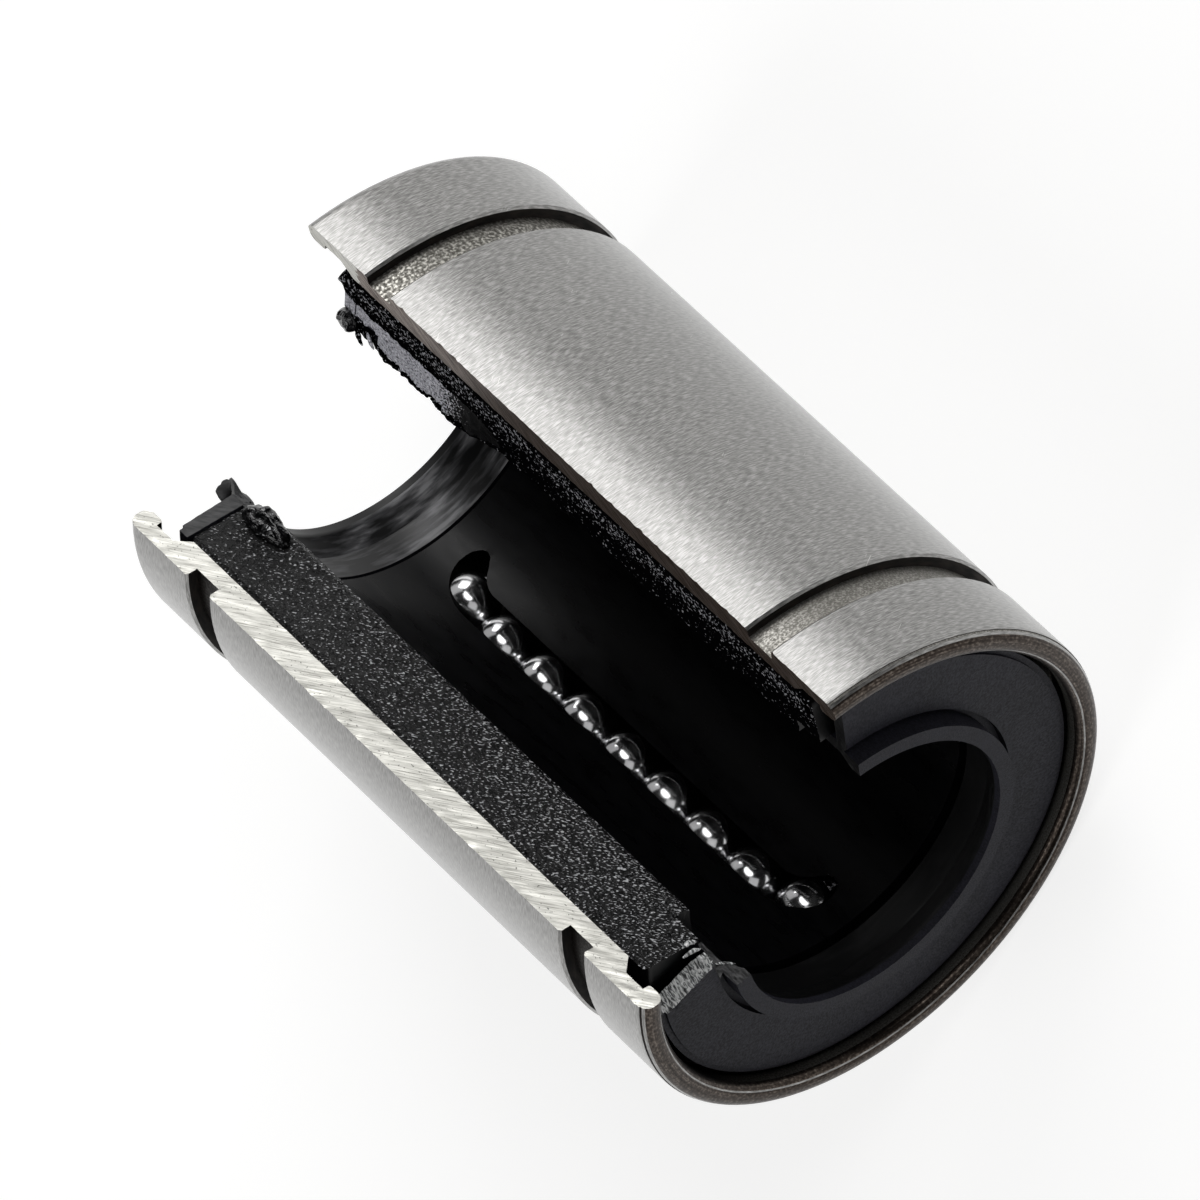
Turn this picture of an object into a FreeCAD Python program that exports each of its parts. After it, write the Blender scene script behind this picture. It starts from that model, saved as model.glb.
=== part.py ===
import FreeCAD, Part
import math
import os
import re
import Sketcher

# Open linear ball bearing: a split steel sleeve, a moulded cage, two end seals and
# four closed circuits of balls that run between the shaft and lands in the sleeve.
# X runs along the shaft towards the front end, Z points out of the opening, and the
# origin lies on the shaft axis at mid-length. Left is -Y, as seen from the front end.
# All sizes are in millimetres and degrees. Row angles are measured from the opening.

doc = FreeCAD.newDocument("open_linear_bearing")
sizes = doc.addObject("Spreadsheet::Sheet", "Sizes")

driving_sizes = {
    # Shaft and balls
    "shaft_diameter": 12,
    "ball_diameter": 2.381,
    "ball_play": 0.019,
    "row_balls": 7,
    "turn_balls": 2,
    "lower_row_angle": 132,
    "upper_row_angle": 62,
    "channel_clearance": 0.06,
    "return_clearance": 0.158,
    # How far each circuit's balls have run on past the start of their straight
    "left_lower_run_length": 1.4,
    "left_upper_run_length": 0.5,
    "right_lower_run_length": 0.9,
    "right_upper_run_length": 1.9,
    # Sleeve
    "opening_angle": 78,
    "sleeve_wall": 1.2,
    "seal_space": 1.8,
    "ring_groove_setback": 3.5,
    "ring_groove_width": 1.3,
    "ring_groove_depth": 0.5,
    "groove_edge_break": 0.1,
    "recess_step": 0.55,
    "recess_depth": 1.85,
    "bead_height": 0.3,
    "bead_width": 0.9,
    "bead_outer_round": 0.45,
    "bead_inner_round": 0.4,
    "bead_back_round": 0.15,
    "land_width": 2,
    "land_clearance": 0.02,
    "land_setback": 0.4,
    "land_ramp": 0.6,
    "land_root_depth": 0.3,
    # Cage
    "cage_shaft_clearance": 0.2,
    "cage_sleeve_clearance": 0.05,
    "cage_drift": 0.3,
    "socket_depth": 1.3,
    "end_wall": 0.55,
    "cage_corner_round": 0.15,
    # Seals
    "plate_thickness": 0.55,
    "plate_clearance": 0.2,
    "collar_length": 1.2,
    "collar_wall": 0.6,
    "collar_clearance": 0.05,
    "lip_reach": 0.6,
    "lip_width": 0.45,
    "lip_land": 0.4,
    "lip_groove_width": 0.3,
    "lip_groove_depth": 0.4,
    "front_seal_gap": 0.3,
    "rear_seal_gap": 0.05,
    "front_seal_setback": 4,
    # Sheared end of the front seal on the left: where it starts, and its two slopes
    "shear_start_angle": 41,
    "shear_slope": 24,
    "shear_bevel": 39,
}

derived_sizes = {
    "ball_radius": "ball_diameter / 2",
    "ball_pitch": "ball_diameter + ball_play",
    "ball_centre": "shaft_diameter / 2 + ball_radius",
    "row_length": "row_balls * ball_pitch",
    "turn_step_angle": "180 / turn_balls",
    "turn_radius": "ball_pitch / (2 * sin(turn_step_angle / 2))",
    "return_offset": "2 * turn_radius",
    "return_centre": "sqrt(ball_centre ^ 2 + return_offset ^ 2)",
    "channel_radius": "ball_radius + channel_clearance",
    "sleeve_bore": "return_centre + ball_radius + return_clearance",
    "sleeve_outer": "sleeve_bore + sleeve_wall",
    "groove_floor": "sleeve_outer - ring_groove_depth",
    "recess_radius": "sleeve_bore + recess_step",
    "bead_radius": "recess_radius - bead_height",
    "land_radius": "shaft_diameter / 2 + ball_diameter + land_clearance",
    "land_length": "row_length - 2 * land_setback",
    "land_angle": "2 * asin(land_width / 2 / land_radius)",
    "cage_bore": "shaft_diameter / 2 + cage_shaft_clearance",
    "cage_outer": "sleeve_bore - cage_sleeve_clearance",
    "cage_length": "row_length + 2 * (turn_radius + channel_radius + end_wall + socket_depth)",
    "cage_front": "cage_drift + cage_length / 2",
    "cage_rear": "cage_drift - cage_length / 2",
    "collar_outer": "cage_bore + collar_wall",
    "socket_radius": "collar_outer + collar_clearance",
    "sleeve_length": "cage_length + 2 * seal_space",
    "plate_radius": "bead_radius - plate_clearance",
    "plate_face": "collar_length + plate_thickness",
    "lip_face": "plate_face + lip_reach",
    "lip_outer": "shaft_diameter / 2 + lip_width",
    "lip_groove_outer": "lip_outer + lip_groove_width",
}

for row, (alias, value) in enumerate(driving_sizes.items(), start=1):
    sizes.set("A%d" % row, alias)
    sizes.set("B%d" % row, str(value))
    sizes.setAlias("B%d" % row, alias)
for row, (alias, formula) in enumerate(derived_sizes.items(), start=len(driving_sizes) + 2):
    sizes.set("A%d" % row, alias)
    sizes.set("B%d" % row, "=" + formula)
    sizes.setAlias("B%d" % row, alias)
doc.recompute()


def size(alias):
    # The sheet's value as a plain number; angles come back in degrees
    value = sizes.get(alias)
    return float(getattr(value, "Value", value))


def on_sheet(formula):
    # The same formula with every alias read from the sheet, for use outside it
    names = set(driving_sizes) | set(derived_sizes)
    return re.sub(r"[a-z_]+", lambda word: ("Sizes." if word[0] in names else "") + word[0], formula)


def bind(item, **formulas):
    # Bind properties to the sheet; a double underscore stands for the dot in a path
    for path, formula in formulas.items():
        item.setExpression(path.replace("__", "."), on_sheet(formula))


def number(item, formula):
    value = item.evalExpression(on_sheet(formula))
    return float(getattr(value, "Value", value))


def draw_outline(sketch, corners):
    # Closed outline, counter-clockwise. A corner is (x, y), or (x, y, axis, centre) when the
    # edge that leaves it is an arc with that centre coordinate along that axis.
    places = [FreeCAD.Vector(number(sketch, c[0]), number(sketch, c[1]), 0) for c in corners]
    count = len(corners)
    for index, corner in enumerate(corners):
        start = places[index]
        end = places[(index + 1) % count]
        if len(corner) == 2:
            sketch.addGeometry(Part.LineSegment(start, end))
            continue
        middle = (start + end) / 2
        square = FreeCAD.Vector(start.y - end.y, end.x - start.x, 0)
        axis, target = corner[2], number(sketch, corner[3])
        centre = middle + square * ((target - getattr(middle, axis)) / getattr(square, axis))
        first = math.atan2(start.y - centre.y, start.x - centre.x)
        last = math.atan2(end.y - centre.y, end.x - centre.x)
        if last <= first:
            last += 2 * math.pi
        circle = Part.Circle(centre, FreeCAD.Vector(0, 0, 1), (start - centre).Length)
        sketch.addGeometry(Part.ArcOfCircle(circle, first, last))
    for index, corner in enumerate(corners):
        following = (index + 1) % count
        sketch.addConstraint(Sketcher.Constraint("Coincident", index, 2, following, 1))
        pins = [("DistanceX", 1, corner[0]), ("DistanceY", 1, corner[1])]
        if len(corner) == 4:
            pins.append(("Distance" + corner[2].upper(), 3, corner[3]))
        for kind, point, formula in pins:
            value = number(sketch, formula)
            pin = sketch.addConstraint(Sketcher.Constraint(kind, -1, 1, index, point, value))
            sketch.setExpression("Constraints[%d]" % pin, on_sheet(formula))


def new_body(label):
    body = doc.addObject("PartDesign::Body", label)
    body.Label = label
    return body


def origin_plane(body, role):
    return next(f for f in body.Origin.OriginFeatures if f.Role == role)


def new_sketch(body, name, role, turn_axis, **offsets):
    # A sketch on one of the body's own planes, moved and turned by bound offsets
    sketch = body.newObject("Sketcher::SketchObject", name)
    sketch.AttachmentSupport = [(origin_plane(body, role), "")]
    sketch.MapMode = "FlatFace"
    sketch.AttachmentOffset = FreeCAD.Placement(FreeCAD.Vector(), FreeCAD.Rotation(turn_axis, 90))
    bind(sketch, **{"AttachmentOffset__" + path: formula for path, formula in offsets.items()})
    doc.recompute()
    return sketch


along = FreeCAD.Vector(1, 0, 0)
out_of_plane = FreeCAD.Vector(0, 0, 1)


def revolve_round_back(body, sketch, name, angle):
    # Turn a section about the shaft axis, equally to both sides of its own plane
    turned = body.newObject("PartDesign::Revolution", name)
    turned.Profile = sketch
    turned.ReferenceAxis = (sketch, ["H_Axis"])
    turned.Midplane = True
    bind(turned, Angle=angle)
    sketch.Visibility = False
    doc.recompute()
    return turned


def mirror_to_right(body, name, features):
    mirrored = body.newObject("PartDesign::Mirrored", name)
    mirrored.Originals = features
    mirrored.MirrorPlane = (origin_plane(body, "XZ_Plane"), [""])
    body.Tip = mirrored
    doc.recompute()
    return mirrored


def both_ends(half, length):
    # Complete an outline that runs from mid-length to the front end and back by its mirror image
    rear = []
    for index in range(len(half) - 1, -1, -1):
        x, y = "%s - (%s)" % (length, half[index][0]), half[index][1]
        arc = half[index - 1][2:] if index else ()
        if arc and arc[0] == "x":
            arc = ("x", "%s - (%s)" % (length, arc[1]))
        rear.append((x, y) + tuple(arc))
    return half + rear


def make_sleeve():
    body = new_body("outer_sleeve")
    sketch = new_sketch(body, "sleeve_section", "XZ_Plane", along,
                        Base__x="-sleeve_length / 2", Rotation__Angle="180")
    groove_out = "sleeve_length - ring_groove_setback"
    groove_in = groove_out + " - ring_groove_width"
    bead_back = "sleeve_length - bead_width"
    half = [
        ("sleeve_length - recess_depth - recess_step", "sleeve_bore"),
        ("sleeve_length - recess_depth", "recess_radius"),
        (bead_back, "recess_radius"),
        (bead_back, "bead_radius + bead_back_round", "x", bead_back + " + bead_back_round"),
        (bead_back + " + bead_back_round", "bead_radius"),
        ("sleeve_length - bead_inner_round", "bead_radius", "x", "sleeve_length - bead_inner_round"),
        ("sleeve_length", "bead_radius + bead_inner_round"),
        ("sleeve_length", "sleeve_outer - bead_outer_round", "x", "sleeve_length - bead_outer_round"),
        ("sleeve_length - bead_outer_round", "sleeve_outer"),
        (groove_out + " + groove_edge_break", "sleeve_outer"),
        (groove_out, "sleeve_outer - groove_edge_break"),
        (groove_out, "groove_floor"),
        (groove_in, "groove_floor"),
        (groove_in, "sleeve_outer - groove_edge_break"),
        (groove_in + " - groove_edge_break", "sleeve_outer"),
    ]
    draw_outline(sketch, both_ends(half, "sleeve_length"))
    revolve_round_back(body, sketch, "sleeve_shell", "360 - opening_angle")
    # Ground lands that the loaded rows roll on, with a ramp at each end
    lands = []
    for level in ("lower", "upper"):
        sketch = new_sketch(body, level + "_land_section", "XZ_Plane", along,
                            Base__x="-land_length / 2 - land_ramp", Rotation__Angle=level + "_row_angle")
        draw_outline(sketch, [
            ("0", "sleeve_bore + land_root_depth"),
            ("0", "sleeve_bore"),
            ("land_ramp", "land_radius"),
            ("land_ramp + land_length", "land_radius"),
            ("land_length + 2 * land_ramp", "sleeve_bore"),
            ("land_length + 2 * land_ramp", "sleeve_bore + land_root_depth"),
        ])
        lands.append(revolve_round_back(body, sketch, level + "_land", "land_angle"))
    mirror_to_right(body, "right_lands", lands)
    return body


def make_cage():
    body = new_body("ball_cage")
    sketch = new_sketch(body, "cage_section", "XZ_Plane", along,
                        Base__x="cage_rear", Rotation__Angle="180")
    draw_outline(sketch, [
        ("0", "socket_radius"),
        ("socket_depth", "socket_radius"),
        ("socket_depth", "cage_bore"),
        ("cage_length - socket_depth", "cage_bore"),
        ("cage_length - socket_depth", "socket_radius"),
        ("cage_length", "socket_radius"),
        ("cage_length", "cage_outer - cage_corner_round", "x", "cage_length - cage_corner_round"),
        ("cage_length - cage_corner_round", "cage_outer"),
        ("cage_corner_round", "cage_outer", "x", "cage_corner_round"),
        ("0", "cage_outer - cage_corner_round"),
    ])
    revolve_round_back(body, sketch, "cage_tube", "360 - opening_angle")
    # Ball channels: a U section, open to the sleeve, carried round each closed circuit. The
    # loaded side breaks through the bore as a slot narrower than the balls.
    channels = []
    for level in ("lower", "upper"):
        angle = level + "_row_angle"
        track = new_sketch(body, level + "_track", "XY_Plane", along,
                           Base__x="cage_drift - row_length / 2",
                           Base__y="-ball_centre * sin(" + angle + ")",
                           Base__z="ball_centre * cos(" + angle + ")",
                           Rotation__Angle=angle + " - 180")
        draw_outline(track, [
            ("0", "0"),
            ("row_length", "0", "x", "row_length"),
            ("row_length", "return_offset"),
            ("0", "return_offset", "x", "0"),
        ])
        section = new_sketch(body, level + "_channel_section", "YZ_Plane", out_of_plane,
                             Base__z="cage_drift - row_length / 2", Rotation__Angle=angle)
        draw_outline(section, [
            ("-channel_radius", "ball_centre", "y", "ball_centre"),
            ("channel_radius", "ball_centre"),
            ("channel_radius", "sleeve_outer"),
            ("-channel_radius", "sleeve_outer"),
        ])
        channel = body.newObject("PartDesign::SubtractivePipe", level + "_channel")
        channel.Profile = section
        channel.Spine = track
        doc.recompute()
        channels.append(channel)
    mirror_to_right(body, "right_channels", channels)
    return body


def seal_corners():
    # Section of a seal from the end of its collar (x = 0) out to the wiping lip
    return [
        ("0", "cage_bore"),
        ("collar_length", "cage_bore"),
        ("lip_face - lip_land", "shaft_diameter / 2"),
        ("lip_face", "shaft_diameter / 2"),
        ("lip_face", "lip_outer"),
        ("plate_face - lip_groove_depth", "lip_outer"),
        ("plate_face - lip_groove_depth", "lip_groove_outer"),
        ("plate_face", "lip_groove_outer"),
        ("plate_face", "plate_radius"),
        ("collar_length", "plate_radius"),
        ("collar_length", "collar_outer"),
        ("0", "collar_outer"),
    ]


def make_rear_seal():
    # Pushed in against the cage and cut off flush with it
    body = new_body("rear_seal")
    sketch = new_sketch(body, "rear_seal_section", "XZ_Plane", along, Rotation__Angle="180")
    draw_outline(sketch, seal_corners())
    revolve_round_back(body, sketch, "rear_seal_ring", "360 - opening_angle")
    body.Placement.Rotation = FreeCAD.Rotation(out_of_plane, 180)
    bind(body, Placement__Base__x="cage_rear - rear_seal_gap + collar_length")
    doc.recompute()
    return body


def make_front_seal():
    # Stands a little off the cage; both ends lie back from the sleeve's cut, and the left
    # one is sheared off along a sloping, bevelled line
    ring = new_body("front_seal_ring_body")
    sketch = new_sketch(ring, "front_seal_section", "XZ_Plane", along,
                        Base__x="cage_front + front_seal_gap - collar_length", Rotation__Angle="180")
    draw_outline(sketch, seal_corners())
    revolve_round_back(ring, sketch, "front_seal_ring", "360 - opening_angle - 2 * front_seal_setback")
    waste = doc.addObject("Part::Box", "sheared_waste")
    for side in ("Length", "Width", "Height"):
        bind(waste, **{side: "sleeve_outer"})
    start = math.radians(size("shear_start_angle"))
    plate_back = size("cage_front") + size("front_seal_gap")
    corner = FreeCAD.Vector(plate_back, -math.sin(start) * size("collar_outer"),
                            math.cos(start) * size("collar_outer"))
    slope = FreeCAD.Rotation(along, -size("shear_slope"))
    bevel = FreeCAD.Rotation(FreeCAD.Vector(0, 1, 0), size("shear_bevel"))
    turn = slope.multiply(bevel)
    middle = FreeCAD.Vector(-size("sleeve_outer") / 2, -size("sleeve_outer"), 0)
    waste.Placement = FreeCAD.Placement(corner + turn.multVec(middle), turn)
    seal = doc.addObject("Part::Cut", "front_seal")
    seal.Label = "front_seal"
    seal.Base = ring
    seal.Tool = waste
    doc.recompute()
    return seal


def make_ball_group(label, side, angle, places):
    # Balls at (distance along X, distance round from the loaded row), in the circuit's plane
    balls = []
    for index, (x, round_back) in enumerate(places):
        ball = doc.addObject("Part::Sphere", "%s_%d" % (label, index + 1))
        bind(ball, Radius="ball_radius", Placement__Base__x=x,
             Placement__Base__y="%d * (ball_centre * sin(%s) + (%s) * cos(%s))"
                                % (side, angle, round_back, angle),
             Placement__Base__z="ball_centre * cos(%s) - (%s) * sin(%s)" % (angle, round_back, angle))
        balls.append(ball)
    group = doc.addObject("Part::Compound", label)
    group.Label = label
    group.Links = balls
    return group


def make_circuit(name, side):
    # Loaded row, front turn, return row and rear turn, each a group that moves as one
    angle = name.split("_")[1] + "_row_angle"
    run = name + "_run_length"
    row = range(int(size("row_balls")))
    front = "cage_drift + row_length / 2"
    rear = "cage_drift - row_length / 2"
    loaded = [("%s + %s + %d * ball_pitch" % (rear, run, k), "0") for k in row]
    returning = [("%s - %s - %d * ball_pitch" % (front, run, k), "return_offset") for k in row]
    front_turn = []
    rear_turn = []
    for k in range(int(size("turn_balls"))):
        swing = "(%s / ball_pitch + %d) * turn_step_angle" % (run, k)
        front_turn.append(("%s + turn_radius * sin(%s)" % (front, swing),
                           "turn_radius - turn_radius * cos(%s)" % swing))
        rear_turn.append(("%s - turn_radius * sin(%s)" % (rear, swing),
                          "turn_radius + turn_radius * cos(%s)" % swing))
    return [
        make_ball_group(name + "_load_balls", side, angle, loaded),
        make_ball_group(name + "_front_turn_balls", side, angle, front_turn),
        make_ball_group(name + "_return_balls", side, angle, returning),
        make_ball_group(name + "_rear_turn_balls", side, angle, rear_turn),
    ]


pieces = [make_sleeve(), make_cage(), make_front_seal(), make_rear_seal()]
for circuit, side in (("left_lower", -1), ("left_upper", -1), ("right_lower", 1), ("right_upper", 1)):
    pieces.extend(make_circuit(circuit, side))
doc.recompute()

for item in doc.Objects:
    if "Invalid" in item.State or "Error" in item.State:
        raise RuntimeError("%s did not build" % item.Name)
for piece in pieces:
    if piece.Shape.isNull() or not piece.Shape.isValid():
        raise RuntimeError("%s has no valid solid" % piece.Label)

os.makedirs("parts", exist_ok=True)
for piece in pieces:
    piece.Shape.exportStep("parts/%s.step" % piece.Label)
    print("%-26s %2d solids %9.3f mm3" % (piece.Label, len(piece.Shape.Solids), piece.Shape.Volume))
print("sleeve %.3f x %.3f" % (2 * size("sleeve_outer"), size("sleeve_length")))
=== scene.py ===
import math
from functools import partial
import bpy
import numpy as np
from mathutils import Matrix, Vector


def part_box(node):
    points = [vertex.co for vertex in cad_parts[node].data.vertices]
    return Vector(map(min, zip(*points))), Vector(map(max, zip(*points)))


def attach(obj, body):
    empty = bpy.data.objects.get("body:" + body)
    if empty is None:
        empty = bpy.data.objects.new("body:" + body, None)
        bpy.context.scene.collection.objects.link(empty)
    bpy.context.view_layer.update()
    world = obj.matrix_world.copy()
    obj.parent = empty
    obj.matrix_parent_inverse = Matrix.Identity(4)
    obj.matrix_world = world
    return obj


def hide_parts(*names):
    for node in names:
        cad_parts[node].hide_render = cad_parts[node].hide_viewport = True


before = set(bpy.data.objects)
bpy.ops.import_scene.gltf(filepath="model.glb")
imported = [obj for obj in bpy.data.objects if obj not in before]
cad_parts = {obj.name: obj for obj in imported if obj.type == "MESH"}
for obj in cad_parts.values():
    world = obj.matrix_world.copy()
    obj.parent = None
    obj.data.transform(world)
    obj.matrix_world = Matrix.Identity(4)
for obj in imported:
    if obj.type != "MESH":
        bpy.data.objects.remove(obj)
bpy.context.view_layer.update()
mm = 0.001
print("frame loaded with", len(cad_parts), "nodes")

# Angles run round the shaft from the middle of the opening (+Z) towards +Y, in degrees.
# The first cut lies at cutAngle, the last at 360 - cutAngle. Sizes are in mm until a mesh is made.
sleeveLow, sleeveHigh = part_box("outer_sleeve")
cageLow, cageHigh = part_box("ball_cage")
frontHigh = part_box("front_seal")[1]
rearLow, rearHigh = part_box("rear_seal")
halfLength = sleeveHigh.x / mm
outerRadius = -sleeveLow.z / mm
cageRadius = -cageLow.z / mm
shaftRadius = 6
cutAngle = 39
wheelAngle = math.radians(37)  # slope of the cutting wheel's scratches, falling towards +X
creaseAngle = 32  # degrees; edges that turn by more than this aren't shaded smooth
reliefFine = {"share": 0.5, "cell": 0.43}  # a finer field over a cut's relief
# large odd numbers that scramble a lattice corner and a seed into a random value
scramble = {"place": (73856093, 19349663, 83492791), "seed": 40503,
            "rounds": ((15, 2246822519), (13, 3266489917)), "word": 0xFFFFFFFF}


# Smooth random field from -1 to 1: random values at the corners of a cubic lattice, blended
# across each cell with a smoothstep
def grain(points, cell, seed):
    place = np.asarray(points, float) / cell
    corner = np.floor(place).astype(np.int64)
    part = place - corner
    part = part * part * (3 - 2 * part)
    total = np.zeros(place.shape[:-1])
    for step in np.ndindex(2, 2, 2):
        lattice = corner + np.array(step)
        mixed = np.bitwise_xor.reduce(lattice * scramble["place"], axis=-1)
        mixed = (mixed ^ seed * scramble["seed"]) & scramble["word"]
        for shift, factor in scramble["rounds"]:
            mixed = ((mixed ^ mixed >> shift) * factor) & scramble["word"]
        value = (mixed >> 8 & 0xFFFF) / 32767.5 - 1  # 16 of its bits
        total += value * np.prod(np.where(step, part, 1 - part), axis=-1)
    return total


def smoothStep(value, low, high):
    t = np.clip((value - low) / (high - low), 0, 1)
    return t * t * (3 - 2 * t)


# Places in the plane of a random field
def flatPlaces(x, y):
    return np.stack(np.broadcast_arrays(x, y, 0 * x), -1)


# Relief of a cut face: a random field drawn out along the wheel's path, in grains of (length, width)
def wheelRelief(x, r, height, size, seed):
    along = x * math.cos(wheelAngle) - r * math.sin(wheelAngle)
    across = x * math.sin(wheelAngle) + r * math.cos(wheelAngle)
    place = flatPlaces(along / size[0], across / size[1])
    fine = reliefFine["share"] * grain(place, reliefFine["cell"], seed + 1)
    return height * (grain(place, 1, seed) + fine)


# Directions on a cut: along the shaft, out from it, and off the cut face into the opening
def cutAxes(side):
    turn = math.radians(cutAngle)
    return np.array([[1, 0, 0],
                     [0, side * math.sin(turn), math.cos(turn)],
                     [0, -side * math.cos(turn), math.sin(turn)]])


# Points in mm and arrays of faces, one array for each count of corners, become an object at the
# origin whose faces point outwards; slots gives each face its material
def makePiece(name, points, faces, materials, slots=None, sharpAngle=creaseAngle):
    points = points.reshape(-1, 3)
    volume = 0
    for corners in (points[f] for f in faces):
        for k in range(1, corners.shape[1] - 1):
            volume += np.sum(corners[:, 0] * np.cross(corners[:, k], corners[:, k + 1]))
    if volume < 0:
        faces = [f[:, ::-1] for f in faces]
    sizes = np.concatenate([np.full(len(f), f.shape[1]) for f in faces])
    mesh = bpy.data.meshes.new(name)
    mesh.vertices.add(len(points))
    mesh.vertices.foreach_set("co", (points * mm).ravel())
    mesh.loops.add(sizes.sum())
    mesh.loops.foreach_set("vertex_index", np.concatenate([f.ravel() for f in faces]))
    mesh.polygons.add(len(sizes))
    mesh.polygons.foreach_set("loop_start", np.cumsum(sizes) - sizes)
    for material in materials:
        mesh.materials.append(material)
    if slots is not None:
        mesh.polygons.foreach_set("material_index", np.asarray(slots, np.int32))
    mesh.update(calc_edges=True)
    mesh.shade_smooth()
    mesh.set_sharp_from_angle(angle=math.radians(sharpAngle))
    piece = bpy.data.objects.new(name, mesh)
    bpy.context.scene.collection.objects.link(piece)
    print(name, "has", len(sizes), "faces")
    return piece


# Quads of a grid of vertex numbers
def gridQuads(index):
    return np.stack([index[:-1, :-1], index[1:, :-1], index[1:, 1:], index[:-1, 1:]], -1).reshape(-1, 4)


# Split every run between two stations into steps no longer than the given one
def divideStations(stations, step):
    stations = np.array(stations, float)
    rows = [stations[:1]]
    for start, end in zip(stations[:-1], stations[1:]):
        longest = max(np.hypot(*(end - start)[:2]), np.hypot(*(end - start)[2:]))
        share = np.linspace(0, 1, max(1, math.ceil(longest / step)) + 1)[1:, None]
        rows.append(start + (end - start) * share)
    return np.vstack(rows)


# A section turned about the shaft. Each station pairs a point of the outer wall with one of the
# inner wall (x, r, x, r), and a straight rung of capRows steps joins each pair. The section's edge
# is the outer wall, the last rung, the inner wall backwards and the first rung. Every point of the
# edge makes a row (x, r sin a, r cos a), where a goes from startAngle(x, r) to endAngle(x, r) as
# the columns go from 0 to 1. The rungs close both ends, and kinds is 0 on the walls, 1 on the first
# end and 2 on the last. A piece's pairShift keeps two stations apart where one wall has a step.
def ringSector(stations, columns, startAngle, endAngle, capRows, radiusAt=None):
    count = len(stations)
    share = np.linspace(0, 1, capRows + 1)
    flat = stations[:, None, :2] + (stations[:, None, 2:] - stations[:, None, :2]) * share[None, :, None]
    along, across = np.arange(count), np.arange(1, capRows)
    rows = np.concatenate([along, 0 * across + count - 1, along[::-1], 0 * across])
    rungs = np.concatenate([0 * along, across, 0 * along + capRows, across[::-1]])
    x, r = np.split(flat[rows, rungs], 2, axis=1)
    first = np.radians(startAngle(x, r))
    last = np.radians(endAngle(x, r))
    angle = first + (last - first) * columns[None, :]
    radius = r + 0 * angle if radiusAt is None else radiusAt(x, r, angle, rungs[:, None] == capRows)
    shell = np.stack([x + 0 * angle, radius * np.sin(angle), radius * np.cos(angle)], -1)
    number = np.arange(angle.size).reshape(angle.shape)
    points = [shell.reshape(-1, 3)]
    quads = [gridQuads(np.vstack([number, number[:1]]))]
    kinds = [np.zeros(len(quads[0]), int)]
    inner = flat[1:-1, 1:-1]
    for kind, column, cut in ((1, 0, startAngle), (2, -1, endAngle)):
        turn = np.radians(cut(inner[..., 0], inner[..., 1]))
        ladder = np.zeros((count, capRows + 1), int)
        ladder[rows, rungs] = number[:, column]
        ladder[1:-1, 1:-1] = sum(len(p) for p in points) + np.arange(turn.size).reshape(turn.shape)
        cap = np.stack([inner[..., 0], inner[..., 1] * np.sin(turn), inner[..., 1] * np.cos(turn)], -1)
        points.append(cap.reshape(-1, 3))
        quads.append(gridQuads(ladder)[:, ::-1] if kind == 1 else gridQuads(ladder))
        kinds.append(np.full(len(quads[-1]), kind))
    return np.vstack(points), np.vstack(quads), np.concatenate(kinds)


# Material tools

def linear(hexCode):
    parts = [int(hexCode[i:i + 2], 16) / 255 for i in (1, 3, 5)]
    return [p / 12.92 if p <= 0.04045 else ((p + 0.055) / 1.055) ** 2.4 for p in parts] + [1]


# One node with its settings. An input is a number, a colour, or the node or socket that feeds it;
# stops fills a colour ramp with hex colours or grey levels.
def addNode(tree, kind, inputs, stops=(), **settings):
    node = tree.nodes.new("ShaderNode" + kind)
    for key, value in settings.items():
        setattr(node, key, value)
    feed(tree, node, inputs)
    for number, (position, colour) in enumerate(stops):
        elements = node.color_ramp.elements
        element = elements[number] if number < len(elements) else elements.new(position)
        element.position = position
        element.color = linear(colour) if isinstance(colour, str) else [colour] * 3 + [1]
    return node


# Some nodes have sockets of one name for several types, of which only those in use are enabled
def feed(tree, node, inputs):
    for key, source in inputs.items():
        named = [s for s in node.inputs if s.enabled and s.name == key]
        socket = named[0] if named else node.inputs[key]
        if isinstance(source, bpy.types.Node):
            source = next(s for s in source.outputs if s.enabled)
        if isinstance(source, bpy.types.NodeSocket):
            tree.links.new(source, socket)
        else:
            socket.default_value = source


# Place in mm as (along the shaft, round it, out from it); the seam of the angle lies in the opening
def shaftPlace(add):
    place = add("TexCoord", {}).outputs["Object"]
    axes = add("SeparateXYZ", {0: place})
    back = add("Math", {0: axes.outputs["Z"], 1: -1}, operation="MULTIPLY")
    turn = add("Math", {0: axes.outputs["Y"], 1: back}, operation="ARCTAN2")
    flat = add("CombineXYZ", {"Y": axes.outputs["Y"], "Z": axes.outputs["Z"]})
    out = add("VectorMath", {0: flat}, operation="LENGTH")
    arc = add("Math", {0: turn, 1: outerRadius * mm}, operation="MULTIPLY")
    joined = add("CombineXYZ", {0: axes.outputs["X"], 1: arc, 2: out})
    return add("VectorMath", {0: joined, 1: [1 / mm] * 3}, operation="MULTIPLY")


def shaderOf(material):
    return next(n for n in material.node_tree.nodes if n.type == "BSDF_PRINCIPLED")


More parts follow.
